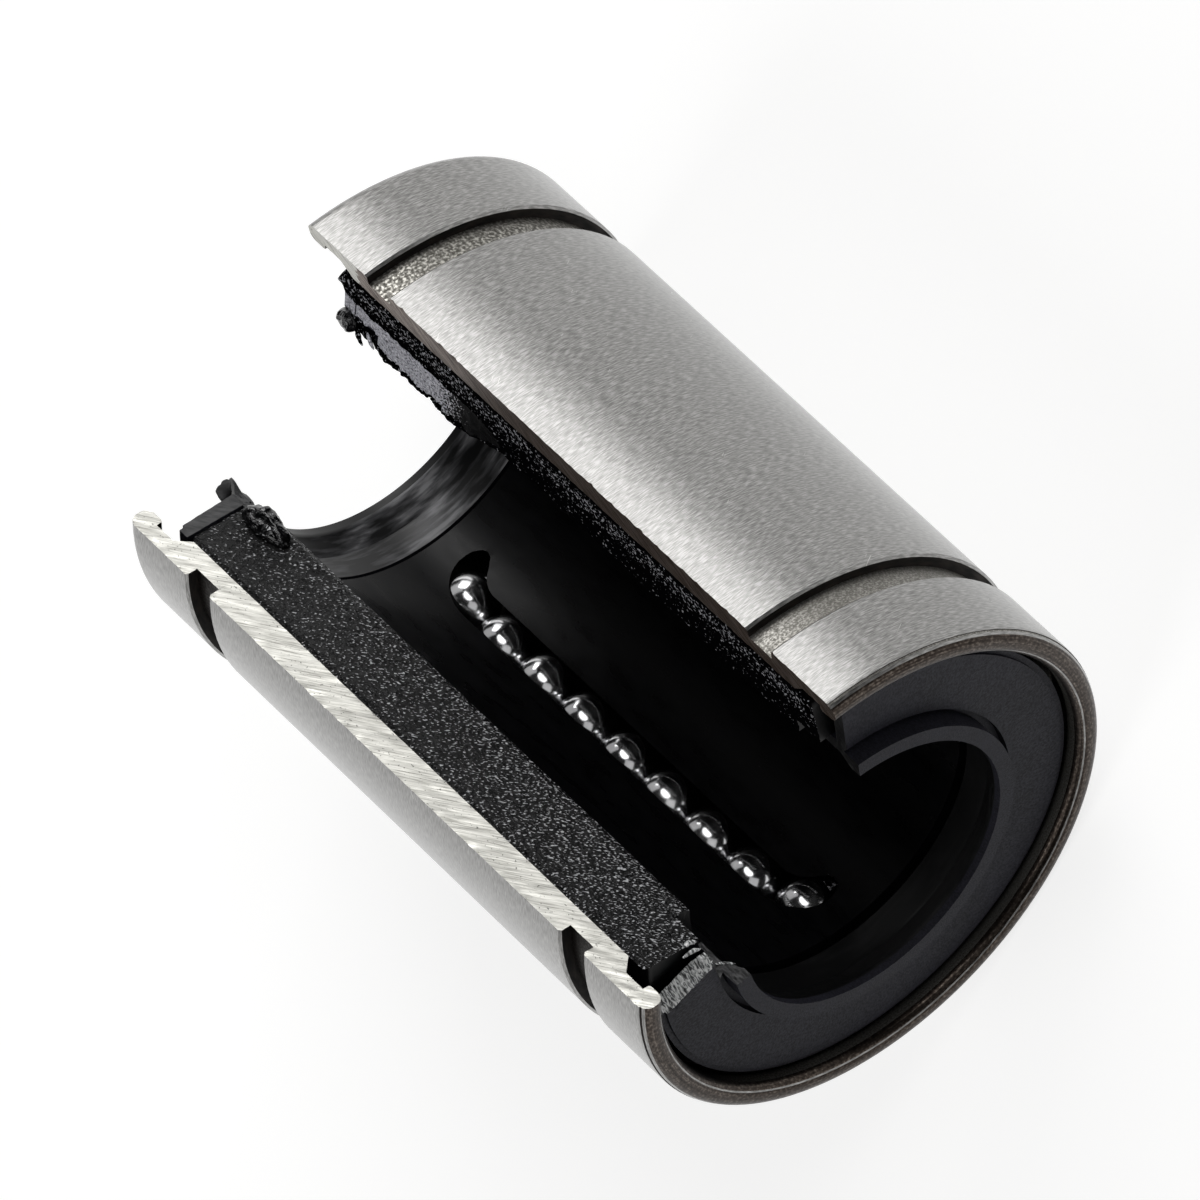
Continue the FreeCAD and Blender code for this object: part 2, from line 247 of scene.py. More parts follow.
# A new material with noise patterns and spans on it. A pattern is its grain's size in mm (along the shaft,
# round it, out from it), the turn of that grain and settings of the noise. A span is the number of an axis
# and where it starts and ends there. Returns the material, addNode for its tree, a node for each pattern
# and a node for each span, which goes from 0 to 1.
def newFinish(name, patterns=(), spans=(), **sockets):
    material = bpy.data.materials.new(name)
    material.use_nodes = True
    add = partial(addNode, material.node_tree)
    for socket, value in sockets.items():
        shaderOf(material).inputs[socket.replace("_", " ")].default_value = value
    place = shaftPlace(add) if patterns else None
    made = []
    for size, turn, settings in patterns:
        grainPlace = add("Mapping", {0: place, "Scale": size, "Rotation": turn}, vector_type="TEXTURE")
        made.append(add("TexNoise", {"Vector": grainPlace, "Scale": 1, **settings}))
    for axis, start, end in spans:
        axes = add("SeparateXYZ", {0: place})
        made.append(add("MapRange", {0: axes.outputs[axis], 1: start, 2: end}))
    return material, add, *made


# Links a colour to the shader, and roughness as ramp stops along a pattern. Relief is the pattern that
# gives the height, the strength, and the depth in mm.
def finishWith(material, colour, pattern, roughness, relief=None):
    add = partial(addNode, material.node_tree)
    inputs = {"Base Color": colour, "Roughness": add("ValToRGB", {0: pattern}, roughness)}
    if relief:
        height, strength, depth = relief
        inputs["Normal"] = add("Bump", {"Height": height, "Strength": strength, "Distance": depth * mm})
    feed(material.node_tree, shaderOf(material), inputs)
    return material


# A finish with one pattern: colour and roughness are ramps along it, and relief is strength and depth
def plainFinish(name, pattern, colours, roughness, relief=None, **sockets):
    material, add, noise = newFinish(name, [pattern], **sockets)
    height = (noise, *relief) if relief else None
    return finishWith(material, add("ValToRGB", {0: noise}, colours), noise, roughness, height)


noTurn = (0, 0, 0)
wheelTurn = (0, wheelAngle, 0)
tornBlack = "#060607"
alongShaft, roundShaft, fromShaft = range(3)  # axes of a place on the part
# Where finishes change, in mm; round the shaft it is measured from the bottom
finishSpans = {
    # shadedSide is where the painted shade on the turned steel fades out, towards the last cut
    "shadedSide": (roundShaft, -1.7 * outerRadius, -1.1 * outerRadius), "scuffs": (roundShaft, -13, -7),
    "glints": (alongShaft, -halfLength, halfLength / 2), "wall": (fromShaft, shaftRadius, cageRadius),
    "spots": (alongShaft, -9.5, -5),
}


# Bearing steel, centreless ground and lightly oiled: soft grey sheen, brighter where it is seen
# edge on, broken by short flecks round the sleeve and a few bright hairline scratches. Real grinding
# marks are finer than the flecks, which are as coarse as they need to be to show.
def groundSteel():
    material, add, flecks, bands, lines, patches = newFinish("bearing_steel_ground", [
        ((0.045, 0.4, 0.1), noTurn, {"Detail": 3}), ((0.5, 5, 1), noTurn, {"Detail": 2}),
        ((0.03, 1.5, 1), (0, 0, -0.6), {"Detail": 0}), ((0.7, 0.7, 0.7), noTurn, {"Detail": 0}),
    ], Metallic=1, Coat_Weight=0.8, Coat_Roughness=0.25)
    both = add("Mix", {"Factor": 0.05, "A": flecks, "B": bands})
    colour = add("ValToRGB", {0: both}, [(0.36, "#696866"), (0.5, "#82817f"), (0.64, "#9f9e9c")])
    rare = add("Math", {0: lines, 1: patches}, operation="MULTIPLY")
    scratch = add("ValToRGB", {0: rare}, [(0.6, 0), (0.64, 1)])
    marked = add("Mix", {"Factor": scratch, "A": colour, "B": linear("#b8b8b4")}, data_type="RGBA")
    return finishWith(material, marked, both, [(0.3, 0.34), (0.7, 0.42)], (flecks, 1, 0.006))


# Bearing steel, turned and left rough: grey-brown with torn specks, painted near black as shade on the side
# of the last cut
def turnedSteel(name, size, dark, middle, light, depth):
    material, add, specks, clean = newFinish(
        name, [(size, noTurn, {"Detail": 1})], [finishSpans["shadedSide"]], Metallic=1)
    colour = add("ValToRGB", {0: specks}, [(0.36, dark), (0.52, middle), (0.66, light)])
    # clean is 0 on the side of the last cut, where the painted shade is full, and 1 where the steel keeps its
    # own colour
    both = add("Mix", {"Factor": clean, "A": linear("#17120f"), "B": colour}, data_type="RGBA")
    return finishWith(material, both, specks, [(0.4, 0.55), (0.7, 0.35)], (specks, 0.5, depth))


# Bearing steel, rolled over: dark brown-grey with fine rings and a mottled skin
def rolledSteel():
    material, add, rings, skin = newFinish("bearing_steel_rolled", [
        ((0.06, 8, 0.06), noTurn, {"Detail": 2}), ((0.1, 0.16, 0.1), noTurn, {"Detail": 2}),
    ], Metallic=1)
    both = add("Mix", {"Factor": 0.6, "A": rings, "B": skin})
    colour = add("ValToRGB", {0: both}, [(0.36, "#282320"), (0.52, "#3e3732"), (0.68, "#6a625b")])
    return finishWith(material, colour, both, [(0.3, 0.42), (0.7, 0.28)], (both, 0.4, 0.015))


# Bearing steel, cut by an abrasive wheel: slanting scratches and a few pits, bright on a clean cut
# and brown where the wheel burned it
def cutSteel(name, dark, middle, light, depth):
    material, add, lines, pits = newFinish(name, [
        ((0.9, 40, 0.045), wheelTurn, {"Detail": 3}), ((0.14, 1, 0.1), noTurn, {"Detail": 1}),
    ], Metallic=1)
    colour = add("ValToRGB", {0: lines}, [(0.3, dark), (0.46, middle), (0.68, light)])
    pitted = add("ValToRGB", {0: pits}, [(0.26, 0.3), (0.33, 1)])
    both = add("Mix", {"Factor": 1, "A": colour, "B": pitted}, data_type="RGBA", blend_type="MULTIPLY")
    return finishWith(material, both, lines, [(0.3, 0.48), (0.7, 0.38)], (lines, 0.5, depth))


# Acetal, torn by the cutting wheel: black, drawn out along the wheel's path, with glints painted on as light
# specks. One cut is smeared and leathery, with painted glints towards the front and bore; the other is broken
# and grainy, with painted glints in a stripe beside the sleeve. glintBand tells where they crowd from the
# bore to the sleeve.
def tornPlastic(name, sheen, depth, wrinkleSize, speckSize, glintColour, glints, forward, crowding, glintBand):
    material, add, wrinkles, specks, ahead, outwards = newFinish(name, [
        (wrinkleSize, wheelTurn, {"Detail": 2, "Distortion": 0.5}), (speckSize, wheelTurn, {"Detail": 0}),
    ], [finishSpans["glints"], finishSpans["wall"]], IOR=1.48, Specular_IOR_Level=sheen)
    crowd = add("ValToRGB", {0: outwards}, glintBand)
    both = add("Math", {0: wrinkles, 1: specks}, operation="MULTIPLY")
    along = add("Math", {0: ahead, 1: forward, 2: both}, operation="MULTIPLY_ADD")
    risen = add("Math", {0: crowd, 1: crowding, 2: along}, operation="MULTIPLY_ADD")
    # painted glints: light specks where both patterns peak, more of them forwards and within glintBand
    glint = add("ValToRGB", {0: risen}, [(glints[0], 0), (glints[1], 1)])
    colour = add("Mix", {"Factor": glint, "A": linear(tornBlack), "B": linear(glintColour)}, data_type="RGBA")
    return finishWith(material, colour, ahead, [(0.2, 0.3), (0.9, 0.2)], (wrinkles, 1, depth))


# Acetal on the facet raised by the wheel, and the rubber and scraps beside it: light grey as a painted sheen
# for the light this facet catches, speckled with dark cracks, and black again in growing spots towards the
# front
def paintedSheenPlastic():
    material, add, specks, ahead = newFinish(
        "acetal_painted_sheen", [((0.09, 0.08, 0.07), noTurn, {"Detail": 2})], [finishSpans["spots"]],
        IOR=1.48, Specular_IOR_Level=0.1)
    light = add("ValToRGB", {0: specks},
                [(0.33, "#3a3a3f"), (0.42, "#a3a3ab"), (0.58, "#c2c2ca"), (0.7, "#ececf0")])
    reach = add("Math", {0: specks, 1: ahead}, operation="SUBTRACT")
    spots = add("ValToRGB", {0: reach}, [(0, 0), (0.15, 1)])
    colour = add("Mix", {"Factor": spots, "A": linear(tornBlack), "B": light}, data_type="RGBA")
    return finishWith(material, colour, specks, [(0.3, 0.6), (0.7, 0.4)], (specks, 0.6, 0.02))


# Nitrile rubber, moulded in a blasted tool: dark blue-grey, matt, with a fine even grain
def mouldedRubber():
    material, add, pores, cloud = newFinish("nitrile_rubber_moulded", [
        ((0.09, 0.09, 0.09), noTurn, {"Detail": 2}), ((1.5, 1.8, 1.5), noTurn, {"Detail": 2}),
    ], IOR=1.5, Specular_IOR_Level=0.14)
    both = add("Mix", {"Factor": 0.3, "A": pores, "B": cloud})
    colour = add("ValToRGB", {0: both}, [(0.35, "#1e1e23"), (0.65, "#31313a")])
    return finishWith(material, colour, pores, [(0.3, 0.62), (0.7, 0.46)], (pores, 0.4, 0.015))


# Nitrile rubber, rubbed by the shaft: black, and where it is worn scuffed to grey streaks in patches
# round the bore
def wipedRubber(name, middle, light):
    material, add, streaks, patches, away = newFinish(name, [
        ((0.2, 2.2, 1), noTurn, {"Detail": 4}), ((1.2, 5, 1), noTurn, {"Detail": 1}),
    ], [finishSpans["scuffs"]], IOR=1.5, Specular_IOR_Level=0.3)
    worn = add("MapRange", {0: away, "To Min": 0.7})
    both = add("Math", {0: streaks, 1: patches}, operation="MULTIPLY")
    scuffs = add("Math", {0: both, 1: worn}, operation="MULTIPLY")
    colour = add("ValToRGB", {0: scuffs}, [(0.16, "#131314"), (0.25, middle), (0.38, light)])
    return finishWith(material, colour, scuffs, [(0.2, 0.35), (0.4, 0.6)])


# Chrome steel balls, lapped: a mirror with the faintest haze
def lappedSteel():
    material, add = newFinish("chrome_steel_lapped", Metallic=1)
    place = add("TexCoord", {}).outputs["Object"]
    haze = add("TexNoise", {"Vector": place, "Scale": 1 / (0.9 * mm), "Detail": 2})
    colour = add("ValToRGB", {0: haze}, [(0.35, "#c9c9cb"), (0.65, "#e2e2e3")])
    return finishWith(material, colour, haze, [(0.35, 0.13), (0.65, 0.19)])


# Painted board under the part: plain white to the eye and in reflections, and it keeps the shadow
def paleBoard(glow):
    material, add = newFinish("board_painted", Roughness=0.9, Specular_IOR_Level=0.2)
    place = add("TexCoord", {}).outputs["Object"]
    tone = add("TexNoise", {"Vector": place, "Scale": 1 / (60 * mm)})
    colour = add("ValToRGB", {0: tone}, [(0.3, "#a8a8a7"), (0.7, "#acacab")])
    rays = add("LightPath", {})
    seen = add("Math", {0: rays.outputs["Is Camera Ray"], 1: rays.outputs["Is Glossy Ray"]})
    passed = add("Math", {0: seen, 1: rays.outputs["Is Transmission Ray"]}, use_clamp=True)
    level = add("Math", {0: passed, 1: glow}, operation="MULTIPLY")
    feed(material.node_tree, shaderOf(material),
         {"Base Color": colour, "Emission Color": linear("#ffffff"), "Emission Strength": level})
    return material


finishes = {
    "ground": groundSteel(), "rolled": rolledSteel(), "paintedSheen": paintedSheenPlastic(),
    "rubber": mouldedRubber(), "ball": lappedSteel(),
    "turned": turnedSteel("bearing_steel_turned", (0.06, 0.1, 0.06), "#6c6a65", "#7e7c77", "#96948f",
                          depth=0.006),
    "roughTurned": turnedSteel("bearing_steel_turned_rough", (0.11, 0.15, 0.11),
                               "#55534e", "#7a7873", "#b0aea7", depth=0.016),
    "cleanCut": cutSteel("bearing_steel_cut", "#908f89", "#b4b3ad", "#cccbc5", depth=0.006),
    "burnedCut": cutSteel("bearing_steel_burned", "#1f1712", "#5a4c43", "#958a82", depth=0.03),
    "leathery": tornPlastic("acetal_torn_leathery", sheen=0.25, depth=0.09, wrinkleSize=(0.12, 0.15, 0.07),
                            speckSize=(0.12, 0.15, 0.05), glintColour="#d0d1d4", glints=(0.39, 0.5),
                            forward=0.06, crowding=0.04, glintBand=[(0, 1), (1, 0)]),
    "grainy": tornPlastic("acetal_torn_grainy", sheen=0, depth=0.07, wrinkleSize=(0.14, 0.2, 0.14),
                          speckSize=(0.11, 0.11, 0.09), glintColour="#a8a9ae", glints=(0.4, 0.44),
                          forward=-0.015, crowding=0.1, glintBand=[(0.45, 0), (0.7, 1), (0.88, 1), (0.96, 0)]),
    "wiped": wipedRubber("nitrile_rubber_wiped", "#48484a", "#8c8c8e"),
    # a darker copy of the wiped rubber for shaded places: its streaks are kept near black as painted shade
    "clean": wipedRubber("nitrile_rubber_wiped_shaded", "#121213", "#1c1c1d"),
    # bearing steel on the groove walls: painted near black as the shade inside the grooves, dark brown in
    # patches
    "grooveShade": plainFinish(
        "bearing_steel_groove_shade", ((0.2, 0.9, 0.2), noTurn, {"Detail": 3}),
        [(0.4, "#0d0a08"), (0.7, "#2b221c")], [(0.3, 0.7), (0.7, 0.5)], Metallic=0.6),
    # acetal, injection moulded: deep black with a slightly uneven gloss
    "moulded": plainFinish(
        "acetal_moulded", ((1.5, 0.8, 2), noTurn, {"Detail": 3}),
        [(0.35, "#070708"), (0.65, "#0e0e10")], [(0.35, 0.26), (0.65, 0.34)],
        IOR=1.48, Specular_IOR_Level=0.12),
    # acetal, melted by the wheel and set again: glossy black folds, with glints painted light grey on their
    # crests
    "melted": plainFinish(
        "acetal_melted", ((0.3, 0.3, 0.36), noTurn, {"Detail": 2, "Distortion": 1.5}),
        [(0.4, tornBlack), (0.68, "#0f0f11"), (0.71, "#c4c5c8"), (0.76, "#eeeff0")],
        [(0.3, 0.05), (0.7, 0.15)], relief=(0.8, 0.06),
        IOR=1.48, Specular_IOR_Level=0.6, Coat_Weight=0.2, Coat_Roughness=0.03),
    # nitrile rubber, sliced: smooth dark grey with a faint grain
    "sliced": plainFinish(
        "nitrile_rubber_sliced", ((0.5, 1, 0.12), wheelTurn, {"Detail": 2}),
        [(0.35, "#353536"), (0.65, "#4b4b4c")], [(0.3, 0.6), (0.7, 0.45)], IOR=1.5, Specular_IOR_Level=0.35),
    # nitrile rubber, sheared off: a chattered face with ripples across the plate, painted up to white on the
    # ripples as highlights
    "shearedHighlit": plainFinish(
        "nitrile_rubber_sheared_highlit", ((0.3, 0.3, 0.07), noTurn, {"Detail": 2, "Distortion": 0.6}),
        [(0.37, "#141415"), (0.45, "#7a7d7e"), (0.53, "#e6e8e7"), (0.61, "#ffffff")],
        [(0.4, 0.4), (0.65, 0.2)], relief=(1, 0.08), IOR=1.5, Specular_IOR_Level=1),
}
print("materials made")


# A piece whose faces take the look of the first choice that holds for them, or else the first look
def dressPiece(name, points, quads, looks, choices):
    order = list(looks)
    slots = np.select([where for where, look in choices], [order.index(look) for where, look in choices], 0)
    return makePiece(name, points, [quads], [finishes[k] for k in looks.values()], slots)


# Sleeve

sleeve = {
    "bore": 9.3, "recess": 9.85, "recessStart": 13.148, "coneStart": 12.598,
    "bead": 9.55, "beadBack": 14.098, "beadBackRound": 0.15, "beadInnerRound": 0.4, "beadOuterRound": 0.45,
    "grooveIn": 10.198, "grooveOut": 11.498, "grooveFloor": 10.0, "edgeBreak": 0.1, "pairShift": 0.05,
    "curlAngles": (0, 11, 17, 19, 27, 29, 36, 44, 57, 73, 90), "lineAngles": (18, 28), "lineDepth": 0.025,
    "groundEnd": 42, "highlightStart": 50, "highlightEnd": 66, "burnStart": -12.2,
    "landRadius": 8.401, "landEnd": 8.0, "landRamp": 0.6, "landHalfAngle": 6.83,
    "landAngles": (62, 132, 228, 298),
    "step": 0.13, "capRows": 8, "columns": 105, "scratch": 0.012, "scratchSize": (0.8, 0.14),
    "nick": 0.12, "nickCell": 0.2, "nickReach": 0.25, "nickStart": 0.35, "nickSeed": 5,
    "cutSeeds": (11, 21), "burnSeed": 25,
    "looks": {"outside": "ground", "inside": "turned", "grooveWall": "grooveShade", "bead": "rolled",
              "clean": "cleanCut", "burned": "burnedCut", "rearGroove": "roughTurned"},
}


# Half the section from the middle to one end, as pairs of outer and inner points. A fine turned
# line lies on the rolled corner of the front end.
def sleeveHalf(s, lineDepth):
    outer, bore, bead, shift = outerRadius, s["bore"], s["bead"], s["pairShift"]
    grooveIn, grooveOut, rim = s["grooveIn"], s["grooveOut"], s["edgeBreak"]
    outerRound, innerRound, backRound = s["beadOuterRound"], s["beadInnerRound"], s["beadBackRound"]
    half = [
        (0, outer, 0, bore), (grooveIn - rim, outer, grooveIn - rim, bore),
        (grooveIn, outer - rim, grooveIn, bore), (grooveIn, s["grooveFloor"], grooveIn + shift, bore),
        (grooveOut, s["grooveFloor"], grooveOut - shift, bore), (grooveOut, outer - rim, grooveOut, bore),
        (grooveOut + rim, outer, grooveOut + rim, bore), (s["coneStart"], outer, s["coneStart"], bore),
        (s["recessStart"], outer, s["recessStart"], s["recess"]),
        (s["beadBack"] - shift, outer, s["beadBack"], s["recess"]),
    ]
    for t in np.linspace(0, math.pi / 2, 4)[1:]:
        half.append((s["beadBack"] + shift * t, outer, s["beadBack"] + backRound * (1 - math.cos(t)),
                     bead + backRound * (1 - math.sin(t))))
    low, high = s["lineAngles"]
    for number, angle in enumerate(s["curlAngles"]):
        t = math.radians(angle)
        u = math.pi / 2 * number / (len(s["curlAngles"]) - 1)
        radius = outerRound - (lineDepth if low < angle < high else 0)
        half.append((halfLength - outerRound + radius * math.sin(t),
                     outer - outerRound + radius * math.cos(t),
                     halfLength - innerRound * (1 - math.sin(u)), bead + innerRound * (1 - math.cos(u))))
    return half


def makeSleeve(s):
    # scratches, and nicks along the outer edge
    def cutDepth(x, r, seed):
        nick = np.clip(grain(flatPlaces(x, r), s["nickCell"], seed + s["nickSeed"]) - s["nickStart"], 0, 1)
        nick = nick * smoothStep(r, outerRadius - s["nickReach"], outerRadius)
        return wheelRelief(x, r, s["scratch"], s["scratchSize"], seed) + s["nick"] * nick

    def startAngle(x, r):
        return cutAngle + np.degrees(cutDepth(x, r, s["cutSeeds"][0]) / r)

    def endAngle(x, r):
        return 360 - cutAngle - np.degrees(cutDepth(x, r, s["cutSeeds"][1]) / r)

    # the lands that the loaded rows roll on stand in from the bore
    def radiusAt(x, r, angle, inside):
        turn = np.degrees(angle)
        away = np.min([np.abs(turn - land) for land in s["landAngles"]], axis=0)
        ramp = np.clip((np.abs(x) - s["landEnd"]) / s["landRamp"], 0, 1)
        land = s["landRadius"] + (s["bore"] - s["landRadius"]) * ramp
        isLand = inside & (away < s["landHalfAngle"]) & (r < s["bore"] + s["pairShift"])
        return np.where(isLand, land, r + 0 * turn)

    span = 360 - 2 * cutAngle
    sides = s["landHalfAngle"] + np.array([-s["pairShift"], s["pairShift"]])
    edges = np.add.outer(s["landAngles"], np.concatenate([-sides, sides])).ravel()
    columns = np.sort(np.concatenate([np.linspace(0, 1, s["columns"]), (edges - cutAngle) / span]))
    front = sleeveHalf(s, s["lineDepth"])
    rear = [(-outerX, outerR, -innerX, innerR) for outerX, outerR, innerX, innerR in sleeveHalf(s, 0)[:0:-1]]
    stations = divideStations(rear + front, s["step"])
    points, quads, kinds = ringSector(stations, columns, startAngle, endAngle, s["capRows"], radiusAt)
    corners = points[quads]
    x = corners[:, :, 0].mean(1)
    r = np.hypot(corners[:, :, 1], corners[:, :, 2]).mean(1)
    steep = np.ptp(corners[:, :, 0], axis=1) < s["step"] / 10
    # angles round the rolled corner, from its outside and from its inside
    outerTurn = np.degrees(np.arctan2(np.abs(x) - halfLength + s["beadOuterRound"],
                                      r - outerRadius + s["beadOuterRound"]))
    innerTurn = np.degrees(np.arctan2(np.abs(x) - halfLength + s["beadInnerRound"],
                                      s["bead"] + s["beadInnerRound"] - r))
    isEnd = np.abs(x) > halfLength - s["beadOuterRound"]
    isLine = isEnd & (x > 0) & (outerTurn > s["lineAngles"][0]) & (outerTurn < s["lineAngles"][1])
    # the lighter ground finish on a band round the inside of the rolled corner is a painted highlight along
    # that edge
    isHighlightRim = isEnd & (innerTurn > s["highlightStart"]) & (innerTurn < s["highlightEnd"])
    isHighlightRim = isHighlightRim & (r < s["recess"] + s["edgeBreak"])
    isGroove = (r < outerRadius - s["edgeBreak"]) & ~isEnd
    isOutside = r > s["grooveFloor"] - s["edgeBreak"]
    isBurned = x + grain(corners.mean(1), s["nickCell"], s["burnSeed"]) * s["nickReach"] > s["burnStart"]
    piece = dressPiece("sleeve_shell", points, quads, s["looks"], [
        ((kinds == 1) & isBurned, "burned"), (kinds > 0, "clean"), (isLine, "inside"), (isHighlightRim, "outside"),
        # the steep groove walls take the painted groove shade
        (isEnd & (outerTurn > s["groundEnd"]), "bead"), (isOutside & steep, "grooveWall"),
        (~isOutside | isGroove & (x > 0), "inside"), (isGroove, "rearGroove"),
    ])
    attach(piece, "sleeve")
    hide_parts("outer_sleeve")


makeSleeve(sleeve)


# Cage: a moulded tube with a closed channel for each ball circuit

cage = {
    "bore": 6.2, "socketRadius": 6.85, "socketDepth": 1.3, "cornerRound": 0.3, "pairShift": 0.02,
    "step": 0.075, "capRows": 44, "columns": 64,
    "tear": 0.032, "tearSize": (0.42, 0.15), "edgeRound": 0.1, "edgeReach": 0.22, "edgeCalm": 0.8,
    "tearAtSleeve": 0.6, "tearGrowth": 0.7, "tearSeeds": (31, 41),
    "lipHeight": 0.36, "lipLeast": 0.018, "lipFoot": 7.45, "lipEnd": -5.6, "lipFade": 2.4,
    "lipRagged": 0.22, "lipCell": 0.3, "lipFine": 0.7, "lipFiner": 3, "lipSeed": 34,
    "lipFringe": 0.14, "fringeSeed": 36,
    "looks": {"tube": "moulded", "lastCut": "leathery", "firstCut": "grainy", "lip": "paintedSheen"},
}
circuit = {
    "rows": (62, 132), "ballCentre": 7.1905, "channelRadius": 1.2505, "turnRadius": 1.697,
    "rear": -8.1, "front": 8.7, "wallTop": 10.2, "straightSteps": 42, "turnSteps": 25, "bowlSteps": 17,
}


# U section carried round a closed track of two straights and two half turns. The track lies in a
# plane square to the row's own radius; side -1 mirrors it.
def channelSolid(c, row, side):
    half = np.linspace(-math.pi / 2, math.pi / 2, c["turnSteps"])[1:-1]
    straight = np.linspace(c["rear"], c["front"], c["straightSteps"])
    trackX = np.concatenate([straight, c["front"] + c["turnRadius"] * np.cos(half),
                             straight[::-1], c["rear"] - c["turnRadius"] * np.cos(half)])
    across = c["turnRadius"] * (1 + np.sin(half))
    trackW = np.concatenate([0 * straight, across, 0 * straight + 2 * c["turnRadius"], across[::-1]])
    slopeX = np.roll(trackX, -1) - np.roll(trackX, 1)
    slopeW = np.roll(trackW, -1) - np.roll(trackW, 1)
    length = np.hypot(slopeX, slopeW)
    bowl = np.linspace(math.pi, 2 * math.pi, c["bowlSteps"])
    offset = np.concatenate([c["channelRadius"] * np.cos(bowl), [c["channelRadius"], -c["channelRadius"]]])
    height = np.concatenate([c["ballCentre"] + c["channelRadius"] * np.sin(bowl), [c["wallTop"]] * 2])
    x = trackX[:, None] - (slopeW / length)[:, None] * offset
    w = trackW[:, None] + (slopeX / length)[:, None] * offset
    angle = math.radians(row)
    y = side * (height * math.sin(angle) + w * math.cos(angle))
    z = height * math.cos(angle) - w * math.sin(angle)
    number = np.arange(x.size).reshape(x.shape)
    number = np.vstack([number, number[:1]])
    number = np.hstack([number, number[:, :1]])
    return makePiece("channel_%d_%d" % (row, side), np.stack([x, y, z], -1), [gridQuads(number)], [])


# The wheel pushed up a ragged lip along the inner edge of the first cut, at the rear: it climbs
# evenly from lipFoot to the bore and fades out forwards
def lipRise(s, x, r):
    place = flatPlaces(x, 0 * x)
    fine = s["lipFine"] * grain(place, s["lipCell"] / s["lipFiner"], s["lipSeed"] + 1)
    ragged = 1 + s["lipRagged"] * (grain(place, s["lipCell"], s["lipSeed"]) + fine)
    fade = 1 - smoothStep(x, s["lipEnd"] - s["lipFade"] / 2, s["lipEnd"] + s["lipFade"] / 2)
    return s["lipHeight"] * ragged * fade * np.clip((s["lipFoot"] - r) / (s["lipFoot"] - s["bore"]), 0, 1)


def makeCage(s):
    front, rear = cageHigh.x / mm, cageLow.x / mm
    depth, shift, socket = s["socketDepth"], s["pairShift"], s["socketRadius"]
    corner = [(s["cornerRound"] * (1 - math.cos(t)), cageRadius - s["cornerRound"] * (1 - math.sin(t)))
              for t in np.linspace(0, math.pi / 2, 5)]
    pairs = [(rear + x, r, rear + x, socket) for x, r in corner]
    pairs += [(rear + depth - shift, cageRadius, rear + depth, socket),
              (rear + depth + shift, cageRadius, rear + depth, s["bore"]),
              (front - depth - shift, cageRadius, front - depth, s["bore"]),
              (front - depth + shift, cageRadius, front - depth, socket)]
    pairs += [(front - x, r, front - x, socket) for x, r in corner[::-1]]
    stations = divideStations(pairs, s["step"])

    # torn relief, deeper towards the bore, and edges rounded off towards the sleeve, bore and rear seal
    def tornDepth(x, r, seed, edgeCount):
        inwards = (cageRadius - r) / (cageRadius - s["bore"])
        edges = [smoothStep(r, cageRadius - s["edgeReach"], cageRadius),
                 smoothStep(-r, -s["bore"] - s["edgeReach"], -s["bore"]),
                 smoothStep(-x, -rear - s["edgeReach"], -rear)]
        edge = np.max(np.broadcast_arrays(*edges[:edgeCount]), axis=0)
        relief = wheelRelief(x, r, s["tear"], s["tearSize"], seed) * (1 - s["edgeCalm"] * edge)
        return (s["tearAtSleeve"] + s["tearGrowth"] * inwards) * relief + s["edgeRound"] * edge

    def startAngle(x, r):
        return cutAngle + np.degrees((tornDepth(x, r, s["tearSeeds"][0], edgeCount=1) - lipRise(s, x, r)) / r)

    def endAngle(x, r):
        return 360 - cutAngle - np.degrees(tornDepth(x, r, s["tearSeeds"][1], edgeCount=3) / r)

    columns = np.linspace(0, 1, s["columns"])
    points, quads, kinds = ringSector(stations, columns, startAngle, endAngle, s["capRows"])
    middle = points[quads].mean(1)
    r = np.hypot(middle[:, 1], middle[:, 2])
    fringe = s["lipFringe"] * (1 + grain(middle * (1, 0, 0), s["lipCell"], s["fringeSeed"]))
    isLip = (lipRise(s, middle[:, 0], r) > s["lipLeast"]) & (r > s["bore"] + fringe)
    tube = dressPiece("cage_tube", points, quads, s["looks"], [
        ((kinds == 1) & isLip, "lip"), (kinds == 1, "firstCut"), (kinds == 2, "lastCut")])
    for row in circuit["rows"]:
        for side in (-1, 1):
            channel = channelSolid(circuit, row, side)
            cutter = tube.modifiers.new(channel.name, "BOOLEAN")
            cutter.operation = "DIFFERENCE"
            cutter.solver = "MANIFOLD"
            cutter.object = channel
    mesh = bpy.data.meshes.new_from_object(tube.evaluated_get(bpy.context.evaluated_depsgraph_get()))
    for cutter in list(tube.modifiers):
        bpy.data.objects.remove(cutter.object)
    tube.modifiers.clear()
    tube.data = mesh
    mesh.shade_smooth()
    mesh.set_sharp_from_angle(angle=math.radians(creaseAngle))
    print("cage has", len(mesh.polygons), "faces after its channels are cut")
    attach(tube, "sleeve")
    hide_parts("ball_cage")


makeCage(cage)


# Seals: a plate with a collar that sits in the cage and a lip that wipes the shaft

